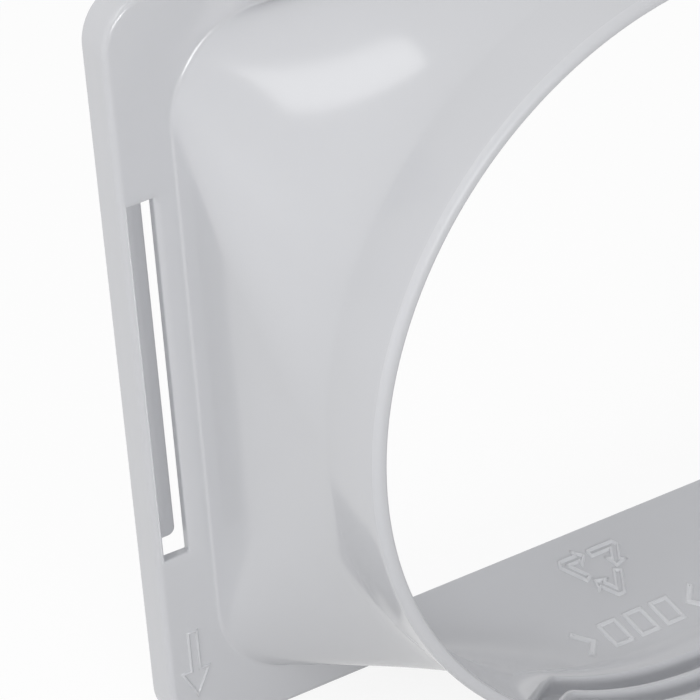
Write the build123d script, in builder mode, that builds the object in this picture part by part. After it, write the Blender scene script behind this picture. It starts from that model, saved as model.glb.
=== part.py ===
"""Exhaust hose adapter: one moulded piece that carries a round hose on a unit's rectangular outlet.

Y is the collar's axis: the hose goes on from -Y and the unit stands at +Y. Y = 0 is the plane where
the skirt meets the unit, and Z is up. Depths below are measured from that plane towards -Y.
"""
import os

from build123d import *

# Round collar and duct wall
hose_bore = 150.0  # inside diameter of the collar
duct_wall = 2.5
collar_length = 15.5  # plain round stretch behind the rim
collar_reach = 51.5  # plate's front face to the rim
rim_outer_share = 0.68  # share of the wall that the rim's outside round takes
rim_inner_share = 0.2  # the same for the bore's side

# Rectangular mouth in the plate, measured inside
mouth_side_margin = 14.1  # plate's side edge to the mouth
mouth_end_margin = 10.8  # plate's upper or lower edge to the mouth
mouth_corner = 16.0
root_round = 0.6  # hollow round where the duct grows out of the plate
stations = 7  # sections that the transition passes through
ease = 1.5  # power with which the section's change dies out before the collar
round_seam = 0.5  # half angle, in degrees, of the arc that ends each flat side at the circle

# Plate and the skirt behind it
plate_width = 190.0
plate_height = 155.0
plate_corner = 10.0
plate_thickness = 2.4
plate_edge_round = 1.2
skirt_depth = 8.0  # plate's front face to the unit
skirt_wall = 1.5

# Side slots, and the lips behind them that hook on the unit's rails
slot_width = 5.4
slot_length = 74.0
slot_rise = 1.9  # slot's middle above the collar's axis
slot_corner = 0.4
lip_width = 5.9
lip_length = 72.8
lip_thickness = 1.5
lip_corner = 1.6

# Round-backed ribs at the collar's bottom that the hose's coil hooks behind
rib_height = 2.0  # collar's wall to the rib's crest
rib_width = 2.2
rib_round = 1.0  # round along both edges of the rib's back
rib_seat = 1.2  # how deep the rib is rooted in the wall
rib_pitch = 6.15
rib_rows = 3
rib_setback = 1.7  # rim to the middle of the first rib
rib_arc = 60.0  # degrees that one rib runs round the collar

rim_depth = skirt_depth + collar_reach
transition_end = rim_depth - collar_length
pocket_depth = skirt_depth - plate_thickness
mouth_width = plate_width - 2 * mouth_side_margin
mouth_height = plate_height - 2 * mouth_end_margin
slot_middle = plate_width / 2 - skirt_wall - slot_width / 2
lip_middle = plate_width / 2 - skirt_wall - lip_width / 2
rib_path = hose_bore / 2 + (rib_seat - rib_height) / 2  # radius of the rib's middle line


def duct_sections(start, grow):
    """Sections of the transition from a depth to the collar, all grown outwards by the same wall.

    Each section keeps flat sides that shrink while its corners widen, and the share of the way from
    the rectangle to the circle eases out, so that the wall runs smoothly into the collar.
    """
    sections = []
    for station in range(stations):
        step = station / (stations - 1)
        share = 1 - (1 - step) ** ease
        width = mouth_width + (hose_bore - mouth_width) * share + 2 * grow
        height = mouth_height + (hose_bore - mouth_height) * share + 2 * grow
        corner = mouth_corner + (hose_bore / 2 - mouth_corner) * share + grow
        with BuildSketch(Plane.XZ.offset(start + (transition_end - start) * step)) as section:
            if station < stations - 1:
                RectangleRounded(width, height, corner)
            else:
                with BuildLine():
                    for quarter in range(4):
                        middle = 90 * quarter
                        CenterArc((0, 0), corner, middle - round_seam, 2 * round_seam)
                        CenterArc((0, 0), corner, middle + round_seam, 90 - 2 * round_seam)
                make_face()
        sections.append(section.sketch)
    return sections


# One rib, at the collar's bottom, with ends as round as it is tall
with BuildPart() as rib:
    with BuildSketch(Plane.XZ):
        rib_line = CenterArc((0, 0), rib_path, -90 - rib_arc / 2, rib_arc, mode=Mode.PRIVATE)
        SlotArc(rib_line, rib_height + rib_seat)
    extrude(amount=rib_width / 2, both=True)
    fillet(rib.faces().filter_by(Axis.Y).edges(), rib_round)

with BuildPart() as adapter:
    # Plate with its skirt still full, and the duct still full in front of it
    with BuildSketch(Plane.XZ):
        RectangleRounded(plate_width, plate_height, plate_corner)
    extrude(amount=skirt_depth)
    loft(duct_sections(skirt_depth, duct_wall))
    with BuildSketch(Plane.XZ.offset(transition_end)):
        Circle(hose_bore / 2 + duct_wall)
    extrude(amount=collar_length)

    # Rounds on the plate's front, which is the one flat face with a hole in it
    plate_front = adapter.faces().filter_by(Axis.Y).filter_by(lambda face: face.inner_wires())[0]
    fillet(plate_front.inner_wires()[0].edges(), root_round)
    plate_front = adapter.faces().filter_by(Axis.Y).filter_by(lambda face: face.inner_wires())[0]
    fillet(plate_front.outer_wire().edges(), plate_edge_round)

    # Hollow duct, with its rim rounded and its ribs in place
    loft(duct_sections(pocket_depth, 0.0), mode=Mode.SUBTRACT)
    with BuildSketch(Plane.XZ.offset(transition_end)):
        Circle(hose_bore / 2)
    extrude(amount=collar_length, mode=Mode.SUBTRACT)
    rim = adapter.faces().filter_by(Axis.Y).sort_by(Axis.Y)[0]
    fillet(rim.outer_wire().edges(), duct_wall * rim_outer_share)
    rim = adapter.faces().filter_by(Axis.Y).sort_by(Axis.Y)[0]
    fillet(rim.inner_wires()[0].edges(), duct_wall * rim_inner_share)
    for row in range(rib_rows):
        with Locations((0, rib_setback + rib_pitch * row - rim_depth, 0)):
            add(rib.part)

    # Pocket inside the skirt, then the lips and the slots in front of them
    with BuildSketch(Plane.XZ):
        RectangleRounded(
            plate_width - 2 * skirt_wall, plate_height - 2 * skirt_wall, plate_corner - skirt_wall
        )
    extrude(amount=pocket_depth, mode=Mode.SUBTRACT)
    with BuildSketch(Plane.XZ) as lips:
        with Locations((lip_middle, slot_rise)):
            Rectangle(lip_width, lip_length)
        fillet(lips.vertices().group_by(Axis.X)[0], lip_corner)
        mirror(about=Plane.YZ)
    extrude(amount=lip_thickness)
    with BuildSketch(Plane.XZ.offset(skirt_depth)):
        with Locations((-slot_middle, slot_rise), (slot_middle, slot_rise)):
            RectangleRounded(slot_width, slot_length, slot_corner)
    extrude(amount=-plate_thickness, mode=Mode.SUBTRACT)

adapter.part.label = "adapter_body"
os.makedirs("parts", exist_ok=True)
export_step(adapter.part, "parts/adapter_body.step")
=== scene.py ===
# %% [markdown]
# # Exhaust hose adapter
# One moulded piece of light grey ABS carries the round exhaust hose of a portable air conditioner on
# the unit's rectangular outlet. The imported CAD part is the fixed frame. This lesson dresses it: each
# surface is worked out again as a smooth numpy grid, so that the gloss runs over it without facets.

import bmesh
import bpy
import numpy as np
from mathutils import Matrix, Vector


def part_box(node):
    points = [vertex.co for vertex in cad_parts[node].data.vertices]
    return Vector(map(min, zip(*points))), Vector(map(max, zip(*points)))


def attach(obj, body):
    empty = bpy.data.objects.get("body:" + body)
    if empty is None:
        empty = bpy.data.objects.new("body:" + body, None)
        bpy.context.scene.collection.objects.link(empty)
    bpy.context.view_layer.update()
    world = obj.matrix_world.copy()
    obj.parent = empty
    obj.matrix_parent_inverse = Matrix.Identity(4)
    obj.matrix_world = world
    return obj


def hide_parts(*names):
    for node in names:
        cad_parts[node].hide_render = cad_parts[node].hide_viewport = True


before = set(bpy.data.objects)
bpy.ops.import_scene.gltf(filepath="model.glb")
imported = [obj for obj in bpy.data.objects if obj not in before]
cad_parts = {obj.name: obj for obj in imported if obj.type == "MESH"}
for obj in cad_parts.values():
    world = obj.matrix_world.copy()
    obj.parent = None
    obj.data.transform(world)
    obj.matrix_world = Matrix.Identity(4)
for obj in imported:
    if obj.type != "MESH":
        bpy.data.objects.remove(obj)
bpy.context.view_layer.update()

# %% [markdown]
# ## Sizes
# The frame gives the outside: half the plate's width and height, and the depth of the rim. The other
# sizes are the part's own, in millimetres. Depths count from the plane where the skirt meets the unit
# (Y = 0) towards the hose (-Y), as they do on the solid.

# %% Sizes in millimetres
MM = 0.001
box_low, box_high = (np.array(corner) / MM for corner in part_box("adapter_body"))
half_width, half_height, rim_depth = box_high[0], box_high[2], -box_low[1]

plate_corner, plate_thickness, plate_edge_round = 10.0, 2.4, 1.2
skirt_depth, skirt_wall, fine_round = 8.0, 1.5, 0.3
bore_radius, duct_wall, collar_length = 75.0, 2.5, 15.5
rim_round, rim_outer_round = 0.5, 1.7  # on the bore's side and on the outside
mouth_half_width, mouth_half_height, mouth_corner = 80.9, 66.7, 16.0
ease, root_round = 1.5, 0.6
slot_width, slot_length, slot_rise = 5.4, 74.0, 1.9
slot_slope_width, slot_slope_depth = 1.2, 0.5  # eased edge on the duct's side of each slot

pocket_depth = skirt_depth - plate_thickness
transition_end = rim_depth - collar_length
slot_outside = half_width - skirt_wall
slot_inside = slot_outside - slot_width
slot_low, slot_high = slot_rise - slot_length / 2, slot_rise + slot_length / 2
print(f"plate {2 * half_width:.1f} x {2 * half_height:.1f} mm, rim {rim_depth:.1f} mm in front of the unit")

# %% [markdown]
# ## ABS, injection moulded
# ABS from a polished tool is opaque and satin-glossy: it shows soft reflections of the lamps, a very
# fine grain from the tool, and faint clouds where the melt flowed. Its base is a slightly cool light
# grey. The colour and roughness clouds are some 50 mm wide, and the grain is drawn at 0.5 mm, coarser
# than the real one, because a finer one would be lost between the render's pixels. The raised marks on
# the lower wall get a lighter tint than the wall: a painted highlight for the light that catches their
# crests. They are taken as matt, as spark erosion in the tool would leave them. The rim's light band has
# no sharp reflection in it, so the rim is taken as matt too, as an edge where the tool parts often is.

# %% Material
def linear(hex_code):
    """sRGB hex to linear: value / 12.92 in the dark toe, ((value + 0.055) / 1.055) ** 2.4 above it."""
    value = np.array([int(hex_code[place:place + 2], 16) for place in (1, 3, 5)]) / 255
    bright = ((value + 0.055) / 1.055) ** 2.4
    return (*np.where(value > 0.04045, bright, value / 12.92).tolist(), 1.0)


def node(tree, kind, sockets=None, links=None, **settings):
    """Add one node: settings go on the node, sockets get values, links bring in other outputs."""
    made = tree.nodes.new(kind)
    for name, value in settings.items():
        setattr(made, name, value)
    for name, value in (sockets or {}).items():
        made.inputs[name].default_value = value
    for name, output in (links or {}).items():
        tree.links.new(output, made.inputs[name])
    return made


flow_cloud, tool_grain = 50.0, 0.5  # sizes of the clouds and of the grain
grain_strength, grain_height = 0.06, 0.02
polish_drift = 0.06  # by how much the roughness drifts with the clouds
rim_roughness, parting_share = 0.4, 0.6  # the rim's finish, and where on its round it is reached


def moulded_abs(name, darker, lighter, polish):
    """ABS whose colour and roughness drift with the flow clouds, over a bump from the tool's grain."""
    material = bpy.data.materials.new(name)
    material.use_nodes = True
    tree = material.node_tree
    tree.nodes.clear()
    place = node(tree, "ShaderNodeTexCoord").outputs["Object"]
    cloud = node(tree, "ShaderNodeTexNoise", {"Scale": 1 / (flow_cloud * MM), "Detail": 3.0},
                 {"Vector": place})
    grain = node(tree, "ShaderNodeTexNoise", {"Scale": 1 / (tool_grain * MM), "Detail": 2.0},
                 {"Vector": place})
    tint = node(tree, "ShaderNodeMix", {6: linear(darker), 7: linear(lighter)},
                {0: cloud.outputs[0]}, data_type="RGBA")
    gloss = node(tree, "ShaderNodeMapRange", {"To Min": polish, "To Max": polish + polish_drift},
                 {"Value": cloud.outputs[0]})
    along = node(tree, "ShaderNodeSeparateXYZ", links={0: place})
    matt_start, matt_full = rim_outer_round - rim_depth, parting_share * rim_outer_round - rim_depth
    parting = node(tree, "ShaderNodeMapRange", {"From Min": matt_start * MM, "From Max": matt_full * MM,
                                                "To Min": 0.0, "To Max": rim_roughness},
                   {"Value": along.outputs["Y"]})
    rough = node(tree, "ShaderNodeMath", links={0: gloss.outputs[0], 1: parting.outputs[0]},
                 operation="MAXIMUM")
    relief = node(tree, "ShaderNodeBump", {"Strength": grain_strength, "Distance": grain_height * MM},
                  {"Height": grain.outputs[0]})
    surface = node(tree, "ShaderNodeBsdfPrincipled", {"IOR": 1.6},
                   {"Base Color": tint.outputs[2], "Roughness": rough.outputs[0],
                    "Normal": relief.outputs[0]})
    node(tree, "ShaderNodeOutputMaterial", links={"Surface": surface.outputs[0]})
    print("material", name, "with", len(tree.nodes), "nodes")
    return material


abs_plastic = moulded_abs("abs_light_grey_moulded", "#CACBCE", "#D0D1D5", 0.10)
# Lighter tint for the raised marks: painted highlight for the light their crests catch; the higher roughness
# is their matt finish.
abs_mark_painted_highlight = moulded_abs("abs_light_grey_mark_painted_highlight", "#DADBDE", "#E0E1E4", 0.45)

# %% [markdown]
# ## From arrays to pieces
# A surface here is a grid of points, rows by columns. Its faces are the quads between neighbours, and a
# direction that closes on itself wraps round. Doubles are merged at the poles, the faces are turned
# outwards, and the piece rides on the part's one body.

# %% Mesh helpers
merge_distance = 0.002


def grid_faces(rows, columns, rows_close, columns_close):
    """Quads (row, column), (row, column + 1), (row + 1, column + 1), (row + 1, column) as an index array."""
    index = np.arange(rows * columns).reshape(rows, columns)
    beside, below = np.roll(index, -1, 1), np.roll(index, -1, 0)
    across = np.roll(below, -1, 1)
    quads = np.stack([index, beside, across, below], -1)
    return quads[:rows if rows_close else -1, :columns if columns_close else -1]


def add_piece(name, points, faces, material=abs_plastic):
    """Points in millimetres and faces by index become a closed smooth mesh that rides on the body."""
    mesh = bpy.data.meshes.new(name)
    mesh.from_pydata((points.reshape(-1, 3) * MM).tolist(), [], faces)
    shape = bmesh.new()
    shape.from_mesh(mesh)
    bmesh.ops.remove_doubles(shape, verts=shape.verts, dist=merge_distance * MM)
    bmesh.ops.recalc_face_normals(shape, faces=shape.faces)
    open_edges = sum(not edge.is_manifold for edge in shape.edges)
    shape.to_mesh(mesh)
    shape.free()
    mesh.polygons.foreach_set("use_smooth", np.ones(len(mesh.polygons), bool))
    mesh.materials.append(material)
    piece = bpy.data.objects.new(name, mesh)
    bpy.context.scene.collection.objects.link(piece)
    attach(piece, "root")
    print(f"{name}: {len(mesh.polygons)} faces, {open_edges} edges that aren't closed")
    return piece


# %% [markdown]
# ## Loops round the duct
# Plate, skirt and duct are all rounded rectangles round one axis, so one set of columns runs over all
# of them. On the flat plate a column keeps its height beside the slots, so each slot is a block of grid
# cells that can be left out. On the duct a column is a ray from the axis, because there the flat sides
# shrink to nothing as the corners grow into the circle.

# %% Columns and loops
root_half_width, root_half_height = mouth_half_width + duct_wall, mouth_half_height + duct_wall
root_corner = mouth_corner + duct_wall
flat_z = root_half_height - root_corner
slot_zone = 42.0  # height up to which plate columns run straight across
below_steps, slot_steps, above_steps, top_steps, corner_steps = 14, 60, 12, 105, 26
side_levels = np.concatenate([
    np.linspace(-flat_z, slot_low, below_steps)[:-1],
    np.linspace(slot_low, slot_high, slot_steps)[:-1],
    np.linspace(slot_high, flat_z, above_steps),
])
top_levels = np.linspace(1, -1, top_steps)
corner_turn = np.linspace(0, np.pi / 2, corner_steps)[1:-1]


def plate_loops(wide, high, corner):
    """Rounded rectangles, one row each, anticlockwise from the lower right as the hose's side sees them.

    Side points keep their height near the slots and stretch beyond them; level sides stretch evenly;
    corner points are the corner's centre plus the radius along the same turns in every row.
    """
    wide, high, corner = np.broadcast_arrays(*(np.atleast_1d(size)[:, None] for size in (wide, high, corner)))
    centre_x, centre_z = wide - corner, high - corner
    beyond = np.clip((np.abs(side_levels) - slot_zone) / (flat_z - slot_zone), 0, 1) * np.sign(side_levels)
    side = side_levels + beyond * (centre_z - flat_z)
    level = top_levels * centre_x
    arc_x, arc_z = corner * np.cos(corner_turn), corner * np.sin(corner_turn)
    full_side, full_level = np.ones_like(side), np.ones_like(level)
    x = [wide * full_side, centre_x + arc_x, level, -centre_x - arc_z,
         -wide * full_side, -centre_x - arc_x, -level, centre_x + arc_z]
    z = [side, centre_z + arc_z, high * full_level, centre_z + arc_x,
         side[:, ::-1], -centre_z - arc_z, -high * full_level, -centre_z - arc_x]
    return np.stack([np.concatenate(x, 1), np.concatenate(z, 1)], -1)


def duct_loops(wide, high, corner, angles):
    """Rounded rectangles met by rays at the given angles: the upright side, else the level side, else
    the corner's arc, at p + sqrt(p^2 - centre^2 + corner^2) with p the centre's reach along the ray."""
    wide, high, corner = (np.atleast_1d(size)[:, None] for size in (wide, high, corner))
    along_x, along_z = np.abs(np.cos(angles)), np.abs(np.sin(angles))
    centre_x, centre_z = wide - corner, high - corner
    reach = along_x * centre_x + along_z * centre_z
    arc = reach + np.sqrt(np.maximum(reach**2 - centre_x**2 - centre_z**2 + corner**2, 0))
    side, level = wide / np.maximum(along_x, 1e-9), high / np.maximum(along_z, 1e-9)
    ray = np.where(side * along_z <= centre_z, side, np.where(level * along_x <= centre_x, level, arc))
    return np.stack([ray * np.cos(angles), ray * np.sin(angles)], -1)


def at_depth(loops, depths):
    """Flat loops (x, z) at their depths in front of the unit become points (x, -depth, z)."""
    depths = np.broadcast_to(np.atleast_1d(depths)[:, None], loops.shape[:2])
    return np.stack([loops[..., 0], -depths, loops[..., 1]], -1)


root_loop = plate_loops(root_half_width, root_half_height, root_corner)
mouth_loop = plate_loops(mouth_half_width, mouth_half_height, mouth_corner)
outer_angles = np.arctan2(root_loop[0, :, 1], root_loop[0, :, 0])
inner_angles = np.arctan2(mouth_loop[0, :, 1], mouth_loop[0, :, 0])
columns = len(outer_angles)
print(columns, "columns round the duct")

# %% [markdown]
# ## Duct law
# Between the mouth and the collar, width, height and corner all go from the rectangle's values to the
# circle's by one share, 1 - (1 - step) ** ease, which dies out before the collar so that the wall runs
# into it without a kink. The outside starts at the plate's front, the inside at its back.

# %% Duct sizes along the depth
def duct_size(depth, start, grow):
    """Half width, half height and corner of the duct at a depth, grown outwards by the wall."""
    step = np.clip((np.asarray(depth) - start) / (transition_end - start), 0, 1)
    share = 1 - (1 - step) ** ease
    return (mouth_half_width + (bore_radius - mouth_half_width) * share + grow,
            mouth_half_height + (bore_radius - mouth_half_height) * share + grow,
            mouth_corner + (bore_radius - mouth_corner) * share + grow)


def bend(first, middle, last, steps):
    """Quadratic blend (1 - t)^2 first + 2 t (1 - t) middle + t^2 last, as rows of a rounded corner."""
    t = np.linspace(0, 1, steps)[:, None, None]
    return (1 - t) ** 2 * first + 2 * t * (1 - t) * middle + t**2 * last


round_steps = 8
quarter = np.linspace(0, np.pi / 2, round_steps)
rise, run = np.sin(quarter), np.cos(quarter)
mid_sizes = duct_size(transition_end / 2, skirt_depth, duct_wall)
print("duct at mid depth:", [round(float(size), 1) for size in mid_sizes])

# %% [markdown]
# ## Rib law
# Three short ribs stand at the collar's bottom, and the hose's coil hooks in behind them. Seen across,
# they are teeth with round crests. The wall ramps up gently to the first one, and between them it is
# hollowed out. At both ends the ribs slant towards the rim.

# %% Ribs as a height over the wall
rib_height, rib_pitch, rib_rows, rib_setback = 2.0, 6.15, 3, 1.7
rib_crest, rib_flank, rib_ramp, rib_sink, rim_dive, hollow = 0.35, 1.1, 8.0, 0.05, 0.3, 1.6
rim_fade, hollow_delay = 0.9, 0.6  # how fast all this dies out at the rim, and how much sooner the hollow
give_extra, give_start, give_length, give_ends = 0.4, 0.5, 3.0, 0.6  # room for the hollow in the shell
rib_straight, slant_start, slant_round, slant_slope, slant_length = 34.5, 2.0, 3.0, 0.85, 18.0
rib_middles = rim_depth - rib_setback - rib_pitch * np.arange(rib_rows)


def fall(distance, length):
    """1 at the start, 0 after a length, along half a cosine wave."""
    return 0.5 + 0.5 * np.cos(np.pi * np.clip(distance / length, 0, 1))


def slant(arc):
    """How far a rib has come towards the rim at an arc length from the bottom: nothing along the straight
    stretch, then slope * (sqrt(beyond^2 + round^2) - round), a bend that goes over into a straight slope."""
    beyond = np.maximum(np.abs(arc) - rib_straight, 0)
    return slant_slope * (np.hypot(beyond, slant_round) - slant_round)


def rib_rise(arc, depth):
    """Height over the wall by depth and arc. A tooth is 1 within its crest and falls over its flank; the
    one furthest from the rim falls over the ramp behind it. Between teeth the wall is hollow, and
    outside the set, as towards the rim, the surface dives a little under the wall."""
    along = (depth - slant(arc))[..., None] - rib_middles
    behind = np.where(np.arange(rib_rows) == rib_rows - 1, rib_ramp, rib_flank)
    tooth = fall(np.abs(along) - rib_crest, np.where(along > 0, rib_flank, behind)).max(-1)
    rim_gap = rim_depth - rim_round / 2 - depth
    fade = fall(np.abs(arc) - rib_straight - slant_start, slant_length) * (1 - fall(rim_gap, rim_fade))
    inside = (along[..., -1] > 0) * (1 - fall(rim_gap - hollow_delay, rim_fade)) * fade
    base = -rib_sink - rim_dive * fall(rim_gap, rim_fade) - (hollow - rib_sink) * inside
    return base + (rib_height - base) * tooth * fade


def wall_hollow(arc, depth):
    """How much the shell itself gives way under the ribs, with its border under the first ramp."""
    along = depth - slant(arc) - rib_middles[-1]
    ends = fall(np.abs(arc) - rib_straight - slant_start, give_ends * slant_length)
    before_rim = 1 - fall(rim_depth - rib_setback - depth, rim_fade)
    return (hollow + give_extra) * fall(-along - give_start, give_length) * before_rim * ends


print("rib crests at depths", rib_middles.tolist())

# %% [markdown]
# ## Shell
# Skirt, plate and duct are one moulded wall, so the shell is one closed grid. Its rows go from the
# skirt's rear edge over the plate's front, up the duct to the rim, back down inside the duct, over the
# plate's back and into the pocket, and close on the skirt's rear edge again. Along the collar the outside
# columns turn until they stand on the same rays as the inside ones, so the rim's quads are square.

# %% Rows of the shell
def inset_loops(inset):
    """The plate's outline moved inwards by a distance, with its corners kept concentric."""
    return plate_loops(half_width - inset, half_height - inset, plate_corner - inset)


def between_loops(widths, outer, inner):
    """Plate loops at given half widths, with height and corner in proportion between two outlines."""
    share = (outer[0] - np.asarray(widths)) / (outer[0] - inner[0])
    heights = outer[1] + (inner[1] - outer[1]) * share
    corners = outer[2] + (inner[2] - outer[2]) * share
    return plate_loops(widths, heights, corners)


front_outline = (half_width - plate_edge_round, half_height - plate_edge_round,
                 plate_corner - plate_edge_round)
front_root = (root_half_width + root_round, root_half_height + root_round, root_corner + root_round)
back_outline = (slot_outside, half_height - skirt_wall, plate_corner - skirt_wall)
back_mouth = (mouth_half_width + fine_round, mouth_half_height + fine_round, mouth_corner + fine_round)

outer_rows, outer_collar_rows, inner_rows, inner_collar_rows = 44, 8, 46, 36
root_steps, mouth_steps, mouth_land = 8, 5, 3.0
skirt_depths, pocket_depths = np.linspace(1.5, 6.0, 3), np.linspace(pocket_depth - 1, 1.0, 3)
outer_depths = np.concatenate([
    np.linspace(skirt_depth + root_round, transition_end, outer_rows),
    np.linspace(transition_end, rim_depth - rim_outer_round, outer_collar_rows)[1:],
])
inner_depths = np.concatenate([
    np.linspace(rim_depth - rim_round, transition_end, inner_collar_rows),
    np.linspace(transition_end, pocket_depth + fine_round, inner_rows)[1:],
])
collar_share = np.clip((outer_depths - transition_end) / (collar_length - rim_outer_round), 0, 1)[:, None]
outer_turns = outer_angles + (inner_angles - outer_angles) * collar_share
outer_sizes = duct_size(outer_depths, skirt_depth, duct_wall)
inner_sizes = duct_size(inner_depths, pocket_depth, 0.0)
outer_duct = at_depth(duct_loops(*outer_sizes, outer_turns), outer_depths)
inner_duct = at_depth(duct_loops(*inner_sizes, inner_angles), inner_depths)
from_bottom = (inner_angles + 1.5 * np.pi) % (2 * np.pi) - np.pi
give = wall_hollow(from_bottom * bore_radius, inner_depths[:, None])[..., None]
inner_duct += at_depth(give * np.stack([np.cos(inner_angles), np.sin(inner_angles)], -1), 0.0)
rim_outer = bore_radius + duct_wall - rim_outer_round * (1 - run)
rim_inner = bore_radius + rim_round * (1 - rise)

front_widths = [slot_outside, slot_inside, slot_inside - slot_slope_width]
back_widths = [mouth_half_width + mouth_land, slot_inside, slot_outside]
front_edge_depths = skirt_depth - plate_edge_round * (1 - rise)
root_start = at_depth(plate_loops(*front_root), skirt_depth)
mouth_end = at_depth(plate_loops(*back_mouth), pocket_depth)

bands = {
    "skirt_rear_edge": at_depth(inset_loops(fine_round * (1 - rise)), fine_round * (1 - run)),
    "skirt_outside": at_depth(inset_loops(np.zeros(len(skirt_depths))), skirt_depths),
    "front_edge": at_depth(inset_loops(plate_edge_round * (1 - run)), front_edge_depths),
    "plate_front": at_depth(between_loops(front_widths, front_outline, front_root), skirt_depth),
    "root": bend(root_start, at_depth(root_loop, skirt_depth), outer_duct[:1], root_steps),
    "duct_outside": outer_duct[1:],
    "rim_outer": at_depth(duct_loops(rim_outer, rim_outer, rim_outer, inner_angles),
                          rim_depth - rim_outer_round * (1 - rise))[1:],
    "rim_inner": at_depth(duct_loops(rim_inner, rim_inner, rim_inner, inner_angles),
                          rim_depth - rim_round * (1 - run))[:-1],
    "duct_inside": inner_duct,
    "mouth_edge": bend(inner_duct[-1:], at_depth(mouth_loop, pocket_depth), mouth_end, mouth_steps)[1:],
    "plate_back": at_depth(between_loops(back_widths, back_outline, back_mouth), pocket_depth),
    "skirt_inside": at_depth(inset_loops(np.full(len(pocket_depths), skirt_wall)), pocket_depths),
    "skirt_inner_edge": at_depth(inset_loops(skirt_wall - fine_round * (1 - run)), fine_round * (1 - rise)),
}
first_row = dict(zip(bands, np.cumsum([0] + [len(band) for band in bands.values()])))
shell_points = np.concatenate(list(bands.values()))
print("shell rows:", {name: len(band) for name, band in bands.items()})

# %% [markdown]
# ## Slots
# Two upright slots let the heads of the unit's rails through the plate. In the grid each one is a strip
# of cells on the plate's front and another on its back. Both are left out, and walls join the edges. The
# edge towards the duct is eased: its row is set back a little, so that the last strip slopes.

# %% Shell with its slots
rows = len(shell_points)
faces = grid_faces(rows, columns, True, True)
keep = np.ones((rows, columns), bool)
front_out, back_in = first_row["plate_front"], first_row["plate_back"] + 1
front_in, back_out = front_out + 1, back_in + 1
side_low, side_high = (int(np.argmin(np.abs(side_levels - level))) for level in (slot_low, slot_high))
left_start = len(side_levels) + len(top_levels) + 2 * len(corner_turn)
left_high, left_low = (left_start + len(side_levels) - 1 - column for column in (side_high, side_low))

index = np.arange(rows * columns).reshape(rows, columns)
wall_faces = []
for start, end in ((side_low, side_high), (left_high, left_low)):
    keep[[front_out, back_in], start:end] = False
    shell_points[front_in, start:end + 1, 1] += slot_slope_depth
    for front, back in ((front_in, back_in), (front_out, back_out)):
        wall_faces.append(np.stack([index[front, start:end], index[front, start + 1:end + 1],
                                    index[back, start + 1:end + 1], index[back, start:end]], -1))
    for column in (start, end):
        wall_faces.append(index[[front_out, front_in, back_in, back_out], column][None])
shell = add_piece("adapter_shell", shell_points, np.concatenate([faces[keep], *wall_faces]).tolist())
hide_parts("adapter_body")

broken_edge, sharp_angle, flat_weight = 0.6, 45, 100
edge_break = shell.modifiers.new("edge_break", "BEVEL")
edge_break.limit_method, edge_break.angle_limit = "ANGLE", np.radians(sharp_angle)
edge_break.width, edge_break.segments = broken_edge * MM, 4
shell.modifiers.new("flat_faces", "WEIGHTED_NORMAL").weight = flat_weight
print("slots from", slot_low, "to", slot_high, "mm")

# %% [markdown]
# ## Lips behind the slots
# A thin lip closes each slot from behind and hooks on the unit's rail. It grows out of the skirt, and
# its two free corners are round. Its outline is carried through the thickness, with broken edges.

# %% Rail lips
lip_width, lip_length, lip_thickness, lip_corner = 5.9, 72.8, 1.5, 1.6
lip_root, lip_edge, lip_setback = 0.6, 0.25, 0.01  # root inside the skirt, broken edge, rear gap


def lip_outline(inset):
    """Outline from the skirt's inside to the free edge: two square corners in the skirt, then two
    quarter circles of the lip's corner radius; an inset moves the free sides in."""
    turn = np.linspace(0, np.pi / 2, 10)
    centre_x = slot_outside - lip_width + lip_corner
    top, low = slot_rise + lip_length / 2 - lip_corner, slot_rise - lip_length / 2 + lip_corner
    size = lip_corner - inset
    x = np.concatenate([[slot_outside + lip_root], centre_x - size * np.sin(turn),
                        centre_x - size * np.cos(turn), [slot_outside + lip_root]])
    z = np.concatenate([[top + size], top + size * np.cos(turn), low - size * np.sin(turn), [low - size]])
    return np.stack([x, z], -1)


lip_insets = np.concatenate([lip_edge * (1 - rise), lip_edge * (1 - run)])
lip_depths = np.concatenate([lip_edge * (1 - run), lip_thickness - lip_edge * (1 - rise)]) + lip_setback
right_lip = at_depth(np.stack([lip_outline(inset) for inset in lip_insets]), lip_depths)
lip_points = np.stack([right_lip, right_lip * [-1, 1, 1]])
lip_rows, lip_columns = right_lip.shape[:2]
one_lip = grid_faces(lip_rows, lip_columns, False, True).reshape(-1, 4)
lip_ends = np.array([np.arange(lip_columns), np.arange(lip_columns) + (lip_rows - 1) * lip_columns])
both = [0, lip_rows * lip_columns]
add_piece("rail_lips", lip_points, [face for shift in both for face in (one_lip + shift).tolist()]
          + [face for shift in both for face in (lip_ends + shift).tolist()])

# %% [markdown]
# ## Ribs in the collar
# The set is one closed skin: its face is the rib law over the wall, and its back lies inside the wall.

# %% Collar ribs
ramp_rows, tooth_rows, rib_columns, skin_backing = 26, 120, 241, 0.5
ramp_end = rib_middles[-1] - rib_crest
rib_depths = np.concatenate([
    np.linspace(ramp_end - rib_ramp, ramp_end, ramp_rows)[:-1],
    np.linspace(ramp_end, rim_depth - rim_round / 2, tooth_rows),
])
rib_arc = np.linspace(-1, 1, rib_columns) * (rib_straight + slant_start + slant_length)
rib_turn = rib_arc / bore_radius - np.pi / 2
rib_wall = duct_loops(*duct_size(rib_depths, pocket_depth, 0.0), rib_turn)
outwards = np.stack([np.cos(rib_turn), np.sin(rib_turn)], -1)
rib_face = rib_wall - outwards * rib_rise(rib_arc, rib_depths[:, None])[..., None]
rib_back = rib_wall + outwards * (hollow + skin_backing)
rib_skin = np.concatenate([at_depth(rib_face, rib_depths), at_depth(rib_back, rib_depths)[::-1]])
rib_ends = np.arange(rib_skin[..., 0].size).reshape(rib_skin.shape[:2])[:, [0, -1]].T
add_piece("collar_ribs", rib_skin,
          rib_ends.tolist() + grid_faces(*rib_skin.shape[:2], True, False).reshape(-1, 4).tolist())

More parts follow.
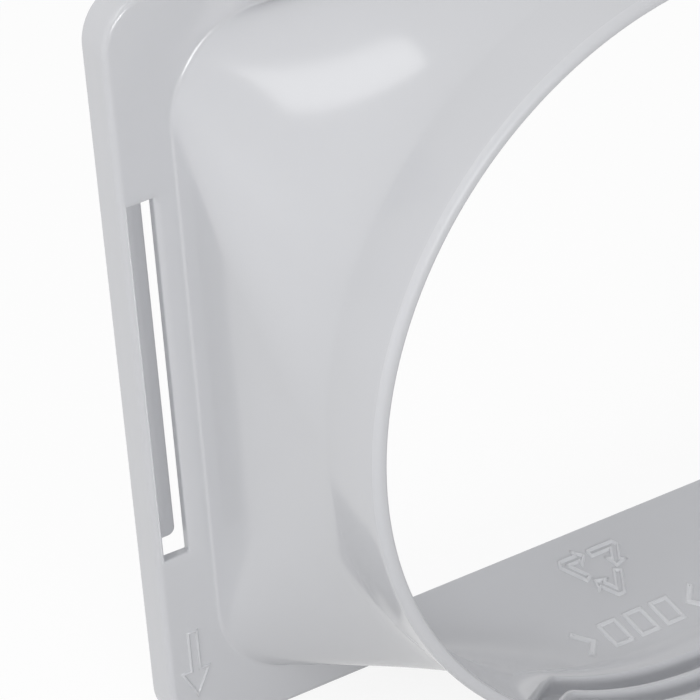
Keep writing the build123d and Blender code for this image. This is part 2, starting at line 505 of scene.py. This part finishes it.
# %% [markdown]
# ## Moulded marks
# The tool leaves thin raised lines: an arrow on the plate that says which way the adapter is pushed,
# and on the inside of the lower wall the common triangle of three chasing arrows for recycling, over
# blank cells between two angle marks. A line is a low swell carried round a polygon with mitred corners.

# %% Raised lines
line_foot, line_steps = 0.12, 28
arrow_line, arrow_steps = (0.75, 0.3), 4  # width and height; points a side


def dense(corners, steps):
    """Each side of a closed polygon divided into equal steps, so that a line can follow a curved wall."""
    share = (np.arange(steps) / steps)[:, None]
    after = np.roll(corners, -1, 0)
    return (corners[:, None] * (1 - share) + after[:, None] * share).reshape(-1, 2)


def raised_line(corners, width, height):
    """A swell carried round a closed polygon: half the width times cos(swing) moves each corner along its
    mitre, (n1 + n2) / (1 + n1 . n2), and sin(swing)^2 lifts it from its foot, which lies a little under
    the wall, to the full height, or drops it on the underside. Gives flat points and lifts."""
    ahead = np.roll(corners, -1, 0) - corners
    ahead /= np.linalg.norm(ahead, axis=1, keepdims=True)
    normal = np.stack([-ahead[:, 1], ahead[:, 0]], -1)
    before = np.roll(normal, 1, 0)
    mitre = (normal + before) / (1 + np.sum(normal * before, 1, keepdims=True))
    swing = np.linspace(0, 2 * np.pi, line_steps, endpoint=False)
    flat = corners + (width / 2 * np.cos(swing))[:, None, None] * mitre
    lift = np.where(np.sin(swing) > 0, height + line_foot, -line_foot) * np.sin(swing) ** 2 - line_foot
    return flat, np.broadcast_to(lift[:, None], flat.shape[:2])


arrow_middle, arrow_tip, arrow_shoulder, arrow_top = -89.4, -67.1, -61.4, -52.6
arrow_shaft, arrow_wing = 0.92, 2.85
arrow_corners = np.array([(0, arrow_tip), (arrow_wing, arrow_shoulder), (arrow_shaft, arrow_shoulder),
                          (arrow_shaft, arrow_top), (-arrow_shaft, arrow_top), (-arrow_shaft, arrow_shoulder),
                          (-arrow_wing, arrow_shoulder)]) + [arrow_middle, 0]
flat, lift = raised_line(dense(arrow_corners, arrow_steps), *arrow_line)
arrow_points = np.stack([flat[..., 0], -skirt_depth - lift, flat[..., 1]], -1)
add_piece("push_arrow", arrow_points, grid_faces(*flat.shape[:2], True, True).reshape(-1, 4).tolist())

# %% [markdown]
# ## Marks on the lower wall
# The lower wall bends, so a mark is drawn flat, facing the unit's side, and every point then drops onto
# the wall: its height is the duct's lower side, or the corner's arc where the point lies beyond it.

# %% Triangle and code cells
mark_x, mark_y = -1.5, -15.8  # middle of the triangle
triangle_line, code_line, mark_steps = (0.8, 0.5), (1.2, 0.35), 6  # width and height; points a side
triangle_reach, band, overhang, blunt, side_rise = 9.0, 1.45, 0.85, 0.7, 1.732
side_way, side_in = np.array([0.5, -np.sqrt(0.75)]), np.array([-np.sqrt(0.75), -0.5])
apex = np.array([0.0, triangle_reach])
head_base, head_tip, tail_end = 5.3, 6.9, 7.3


def on_lower_wall(flat, lift):
    """A flat mark with its top towards the hose, dropped onto the duct's lower inside wall."""
    x, y = mark_x - flat[..., 0], mark_y - flat[..., 1]
    wide, high, corner = duct_size(-y, pocket_depth, 0.0)
    beyond = np.maximum(np.abs(x) - (wide - corner), 0)
    return np.stack([x, y, lift - (high - corner) - np.sqrt(corner**2 - beyond**2)], -1)


def add_mark(name, outlines, width, height):
    """Several closed outlines of one mark, each a raised line on the lower wall, as one piece."""
    points, quads, used = [], [], 0
    for outline in outlines:
        flat, lift = raised_line(dense(outline, mark_steps), width, height)
        points.append(on_lower_wall(flat, lift).reshape(-1, 3))
        quads.append(grid_faces(*flat.shape[:2], True, True).reshape(-1, 4) + used)
        used += len(points[-1])
    # The marks take the lighter, matt ABS, whose lighter tint is painted highlight for the light on their
    # crests.
    return add_piece(name, np.concatenate(points), np.concatenate(quads).tolist(), abs_mark_painted_highlight)


mirrored = side_way * [-1, 1]
outer_tail, inner_tail = apex + mirrored * tail_end, apex + mirrored * tail_end + band * side_in * [-1, 1]
base = apex + side_way * head_base
chasing_arrow = np.array([
    outer_tail, apex + [-blunt, -blunt * side_rise], apex + [blunt, -blunt * side_rise],
    base, base - overhang * side_in, apex + side_way * head_tip + band / 2 * side_in,
    base + (band + overhang) * side_in, base + band * side_in, apex - [0, 2 * band], inner_tail,
])
third = np.radians([0, 120, 240])
turns = np.stack([np.stack([np.cos(third), -np.sin(third)], -1),
                  np.stack([np.sin(third), np.cos(third)], -1)], 1)
add_mark("recycling_triangle", chasing_arrow @ turns.transpose(0, 2, 1), *triangle_line)

code_y, code_half = -15.9, 3.6  # middle and half height of the code line, seen from the triangle
cell_half, cell_inset, cell_places = 1.9, 0.5, (-5.2, 1.1, 7.4)
angle_reach, angle_stroke, angle_notch, right_angle, left_angle = 3.0, 0.3, 0.5, 12.4, -10.3
cell = np.array([(-1, -1), (1, -1), (1, 1), (-1, 1)]) * [cell_half, code_half - cell_inset]
cells = [cell + [place, -code_y] for place in cell_places]
angle_end = angle_reach + angle_stroke
angle_mark = np.array([
    (0, 0), (angle_reach, code_half), (angle_end, code_half - angle_stroke), (angle_notch, 0),
    (angle_end, angle_stroke - code_half), (angle_reach, -code_half),
])
angles = [angle_mark + [right_angle, -code_y], angle_mark * [-1, 1] + [left_angle, -code_y]]
add_mark("code_cells", cells + angles, *code_line)

# %% [markdown]
# ## Camera
# The picture was taken with a long lens from the hose's side, 30 degrees to the left and 30 degrees
# above, and held with a slight roll. The place and the lens come from matching the plate, the slot and
# the rim in the photograph.

# %% Camera
camera_place = Vector((-307.8, -454.6, 295.7)) * MM
azimuth, elevation, roll = np.radians([29.898, 30.259, -3.943])
focal_pixels, frame_pixels, sensor = 3208.8, 700, 36.0
look = Vector((np.sin(azimuth) * np.cos(elevation), np.cos(azimuth) * np.cos(elevation), -np.sin(elevation)))
level_right = Vector((np.cos(azimuth), -np.sin(azimuth), 0))
level_up = level_right.cross(look)
right = level_right * np.cos(roll) + level_up * np.sin(roll)
up = level_up * np.cos(roll) - level_right * np.sin(roll)
camera = bpy.data.objects.new("camera", bpy.data.cameras.new("camera"))
camera.data.sensor_width, camera.data.lens = sensor, focal_pixels * sensor / frame_pixels
camera.data.clip_start = 0.01
camera.matrix_world = Matrix.Translation(camera_place) @ Matrix((right, up, -look)).transposed().to_4x4()
bpy.context.scene.collection.objects.link(camera)
bpy.context.scene.camera = camera
print(f"lens {camera.data.lens:.1f} mm")

# %% [markdown]
# ## Studio
# A white sweep under a soft world that is dimmer in front than behind. Three soft boxes help it: a long
# one overhead at the left leaves the duct's highlight, a low one in front lights the plate, the rim and
# the ribs' crests, and one at the left fills in the skirt without a mirror image. For the camera, and in
# reflections, floor and world come out close to plain white, while the floor still takes the object's
# shadow. The paper throws less light back at the object than it shows, as if black cards stood round it.

# %% Floor, world and lamps
scene = bpy.context.scene
scene.view_settings.view_transform = "Standard"


def seen_share(tree, straight, mirrored):
    """One share for rays from the camera or through a clear body, another for reflections, 0 for the
    light that falls on things."""
    path = node(tree, "ShaderNodeLightPath").outputs
    either = node(tree, "ShaderNodeMath", links={0: path["Is Camera Ray"], 1: path["Is Transmission Ray"]},
                  operation="MAXIMUM")
    direct = node(tree, "ShaderNodeMath", {1: straight}, {0: either.outputs[0]}, operation="MULTIPLY")
    glossy = node(tree, "ShaderNodeMath", {1: mirrored}, {0: path["Is Glossy Ray"]}, operation="MULTIPLY")
    return node(tree, "ShaderNodeMath", links={0: direct.outputs[0], 1: glossy.outputs[0]},
                operation="MAXIMUM").outputs[0]


front_level, back_level, seen_glow, mirrored_glow = 0.42, 1.45, 0.88, 0.72
world = bpy.data.worlds.new("studio")
scene.world = world
world.use_nodes = True
tree = world.node_tree
tree.nodes.clear()
way = node(tree, "ShaderNodeSeparateXYZ", links={0: node(tree, "ShaderNodeTexCoord").outputs["Generated"]})
level = node(tree, "ShaderNodeMapRange", {"From Min": -1.0, "From Max": 1.0, "To Min": front_level,
                                          "To Max": back_level}, {"Value": way.outputs["Y"]})
strength = node(tree, "ShaderNodeMix", {3: 1.0}, {0: seen_share(tree, 1.0, 1.0), 2: level.outputs[0]})
sky = node(tree, "ShaderNodeBackground", links={"Strength": strength.outputs[0]})
node(tree, "ShaderNodeOutputWorld", links={"Surface": sky.outputs[0]})

sweep = bpy.data.materials.new("white_paper_sweep")
sweep.use_nodes = True
tree = sweep.node_tree
tree.nodes.clear()
shade = node(tree, "ShaderNodeMix", {6: linear("#B4B4B4"), 7: linear("#F8F8F8")},
             {0: seen_share(tree, 1.0, 1.0)}, data_type="RGBA")
paper = node(tree, "ShaderNodeBsdfDiffuse", links={"Color": shade.outputs[2]})
glow = node(tree, "ShaderNodeEmission", {"Strength": 1.0})
both_ways = node(tree, "ShaderNodeMixShader", links={0: seen_share(tree, seen_glow, mirrored_glow),
                                                     1: paper.outputs[0], 2: glow.outputs[0]})
node(tree, "ShaderNodeOutputMaterial", links={"Surface": both_ways.outputs[0]})

floor_mesh = bpy.data.meshes.new("floor")
floor_half = 4.0
floor_mesh.from_pydata([(x * floor_half, y * floor_half, box_low[2] * MM) for x, y in
                        ((-1, -1), (1, -1), (1, 1), (-1, 1))], [], [(0, 1, 2, 3)])
floor_mesh.materials.append(sweep)
floor = bpy.data.objects.new("floor", floor_mesh)
scene.collection.objects.link(floor)


def soft_box(name, place, long_way, length, width, power):
    """An oblong area lamp at a place in millimetres that faces the object, its long side along a way."""
    lamp = bpy.data.objects.new(name, bpy.data.lights.new(name, "AREA"))
    lamp.data.shape, lamp.data.energy = "RECTANGLE", power
    lamp.data.size, lamp.data.size_y = length * MM, width * MM
    back = Vector(place).normalized()
    along = (Vector(long_way) - back * back.dot(Vector(long_way))).normalized()
    turn = Matrix((along, back.cross(along), back)).transposed().to_4x4()
    lamp.matrix_world = Matrix.Translation(Vector(place) * MM) @ turn
    scene.collection.objects.link(lamp)
    return lamp


soft_box("strip_box", (-592, -197, 778), (0.30, 0.51, 0.38), 660, 180, 0.85)
soft_box("front_box", (-250, -1000, 210), (1, 0, 0), 500, 250, 3.2)
left_fill = soft_box("left_fill", (-900, -350, 130), (0, 1, 0), 500, 250, 1.55)
left_fill.visible_glossy = False
